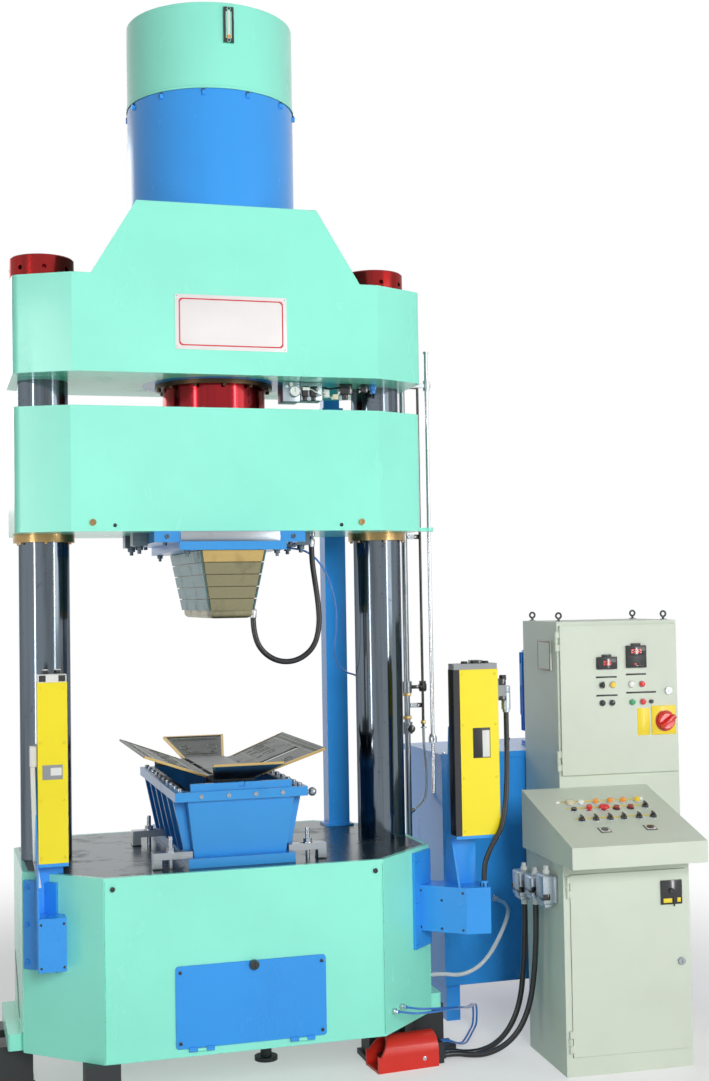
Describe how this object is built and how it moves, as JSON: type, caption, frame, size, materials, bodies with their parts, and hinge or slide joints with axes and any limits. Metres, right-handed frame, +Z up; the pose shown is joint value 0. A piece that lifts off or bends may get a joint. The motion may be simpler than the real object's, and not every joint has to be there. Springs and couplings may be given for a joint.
{
  "type": "hydraulic press",
  "caption": "Two-column hydraulic moulding press with folding-leaf mould, light curtains, control desk, cabinet, power unit and foot pedal.",
  "frame": {"origin": "on the floor in the middle of the four anchor holes, under the press", "axes": "+Z up, the front of the press towards -Y, +X to the right as seen from the front"},
  "size_m": [2.7954, 1.4854, 4.085],
  "materials": {
    "mint_paint": "glossy mint enamel",
    "blue_paint": "blue enamel",
    "table_steel": "dark oiled steel",
    "black_iron": "black cast iron",
    "column_chrome": "hard chrome",
    "red_nuts": "dark red turned steel",
    "ram_steel": "oiled ground steel",
    "bronze": "turned bronze",
    "mould_steel": "milled steel",
    "leaf_steel": "dark milled steel",
    "pipe_grey": "grey pipe",
    "yellow_paint": "yellow enamel",
    "pale_plastic": "pale plastic",
    "console_paint": "beige-grey texture paint",
    "controls": "coloured caps",
    "lock_steel": "nickel",
    "red_plastic": "red plastic",
    "black_plastic": "black plastic",
    "pedal_paint": "red enamel",
    "black_hose": "black hose",
    "blue_tube": "blue tube",
    "clear_tube": "clear tube"
  },
  "bodies": {
    "frame": {"base_frame": "mint_paint", "table_plate": "table_steel", "machine_feet": "black_iron", "columns": "column_chrome", "column_nuts": "red_nuts", "crown": "mint_paint", "main_cylinder": "blue_paint", "oil_tank": "mint_paint", "gland_flange": "bronze", "stroke_rod": "mould_steel", "mould_box": "blue_paint", "mould_fasteners": "mould_steel", "mould_clamps": "mould_steel", "rear_duct": "blue_paint", "pressure_pipes": "pipe_grey", "power_unit": "blue_paint", "base_webs": "mint_paint", "left_guard_bracket": "blue_paint", "right_guard_bracket": "blue_paint", "left_light_curtain": "yellow_paint", "right_light_curtain": "yellow_paint", "curtain_caps": "pale_plastic", "console_body": "console_paint", "desk_controls": "controls", "cabinet_body": "console_paint", "hose_fittings": "pipe_grey", "pedal_hood": "pedal_paint", "curtain_cable": "black_hose", "service_hose": "clear_tube", "clear_hose": "clear_tube", "pedal_tube_a": "blue_tube", "pedal_tube_b": "blue_tube", "conduit_a": "black_hose", "conduit_b": "black_hose"},
    "crosshead": {"crosshead": "mint_paint", "ram": "ram_steel", "guide_bushes": "bronze", "punch_holder": "blue_paint", "holder_fittings": "mould_steel", "punch": "bronze", "press_hose": "black_hose", "punch_tube": "blue_tube"},
    "ejector": {"ejector_plate": "table_steel"},
    "left_leaf": {"left_leaf": "leaf_steel"},
    "right_leaf": {"right_leaf": "leaf_steel"},
    "front_leaf": {"front_leaf": "leaf_steel"},
    "back_leaf": {"back_leaf": "leaf_steel"},
    "access_flap": {"access_flap": "blue_paint"},
    "flap_knob": {"flap_knob": "column_chrome"},
    "console_door": {"console_door": "console_paint"},
    "console_lock": {"console_lock": "lock_steel"},
    "cabinet_door": {"cabinet_door": "console_paint", "cabinet_instruments": "controls"},
    "cabinet_lock": {"cabinet_lock": "lock_steel"},
    "main_switch": {"main_switch_handle": "red_plastic"},
    "start_button": {"start_button": "red_plastic"},
    "emergency_button": {"emergency_button": "red_plastic"},
    "left_selector": {"left_selector": "black_plastic"},
    "right_selector": {"right_selector": "black_plastic"},
    "treadle": {"foot_treadle": "black_plastic"}
  },
  "joints": [
    {"name": "ram_slide", "type": "slide", "parent": "frame", "child": "crosshead", "axis": [0, 0, -1], "range_m": [0, 0.75], "deforming": ["press_hose", "punch_tube"]},
    {"name": "ejector_slide", "type": "slide", "parent": "frame", "child": "ejector", "axis": [0, 0, -1], "range_m": [0, 0.2]},
    {"name": "left_leaf_hinge", "type": "hinge", "parent": "ejector", "child": "left_leaf", "pos_m": [-0.092, 0, 1.137], "axis": [0, 1, 0], "range_deg": [0, 60]},
    {"name": "right_leaf_hinge", "type": "hinge", "parent": "ejector", "child": "right_leaf", "pos_m": [0.092, 0, 1.137], "axis": [0, -1, 0], "range_deg": [0, 60]},
    {"name": "front_leaf_hinge", "type": "hinge", "parent": "ejector", "child": "front_leaf", "pos_m": [0, -0.312, 1.137], "axis": [-1, 0, 0], "range_deg": [0, 64.3]},
    {"name": "back_leaf_hinge", "type": "hinge", "parent": "ejector", "child": "back_leaf", "pos_m": [0, 0.312, 1.137], "axis": [1, 0, 0], "range_deg": [0, 64.3]},
    {"name": "access_flap_hinge", "type": "hinge", "parent": "frame", "child": "access_flap", "pos_m": [0.011, -0.515, 0.214], "axis": [1, 0, 0], "range_deg": [0, 90]},
    {"name": "flap_knob_turn", "type": "hinge", "parent": "access_flap", "child": "flap_knob", "pos_m": [0.019, -0.52, 0.494], "axis": [0, -1, 0], "range_deg": [0, 90]},
    {"name": "console_door_hinge", "type": "hinge", "parent": "frame", "child": "console_door", "pos_m": [1.19179, -0.61902, 0.4], "axis": [0, 0, -1], "range_deg": [0, 110]},
    {"name": "console_lock_turn", "type": "hinge", "parent": "console_door", "child": "console_lock", "pos_m": [1.63984, -0.64841, 0.399], "axis": [-0.0579, -0.9983, 0], "range_deg": [0, 90]},
    {"name": "cabinet_door_hinge", "type": "hinge", "parent": "frame", "child": "cabinet_door", "pos_m": [1.34072, -0.22738, 1.36], "axis": [0, 0, -1], "range_deg": [0, 100]},
    {"name": "cabinet_lock_turn", "type": "hinge", "parent": "cabinet_door", "child": "cabinet_lock", "pos_m": [1.81517, -0.26793, 1.39], "axis": [-0.0579, -0.9983, 0], "range_deg": [0, 90]},
    {"name": "main_switch_turn", "type": "hinge", "parent": "cabinet_door", "child": "main_switch", "pos_m": [1.79862, -0.27698, 1.268], "axis": [-0.0579, -0.9983, 0], "range_deg": [0, 90]},
    {"name": "start_press", "type": "slide", "parent": "frame", "child": "start_button", "axis": [0.0149, 0.2577, -0.9661], "range_m": [0, 0.004], "stiffness_N_per_m": 900},
    {"name": "emergency_press", "type": "slide", "parent": "frame", "child": "emergency_button", "axis": [0.0149, 0.2577, -0.9661], "range_m": [0, 0.005]},
    {"name": "left_selector_turn", "type": "hinge", "parent": "frame", "child": "left_selector", "pos_m": [1.29387, -0.53418, 0.92758], "axis": [-0.0149, -0.2577, 0.9661], "range_deg": [-45, 45]},
    {"name": "right_selector_turn", "type": "hinge", "parent": "frame", "child": "right_selector", "pos_m": [1.52748, -0.54774, 0.92758], "axis": [-0.0149, -0.2577, 0.9661], "range_deg": [-45, 45]},
    {"name": "treadle_hinge", "type": "hinge", "parent": "frame", "child": "treadle", "pos_m": [0.71055, -0.26369, 0.036], "axis": [-0.0872, 0.9962, 0], "range_deg": [-8, 0], "stiffness_Nm_per_rad": 12, "springref_deg": 5.73}
  ],
  "couplings": [
    {"joint": "ejector_slide", "follows": "ram_slide", "ratio": 0.26667},
    {"joint": "left_leaf_hinge", "follows": "ram_slide", "rad_per_m": 1.3963},
    {"joint": "right_leaf_hinge", "follows": "ram_slide", "rad_per_m": 1.3963},
    {"joint": "front_leaf_hinge", "follows": "ram_slide", "rad_per_m": 1.4963},
    {"joint": "back_leaf_hinge", "follows": "ram_slide", "rad_per_m": 1.4963}
  ]
}
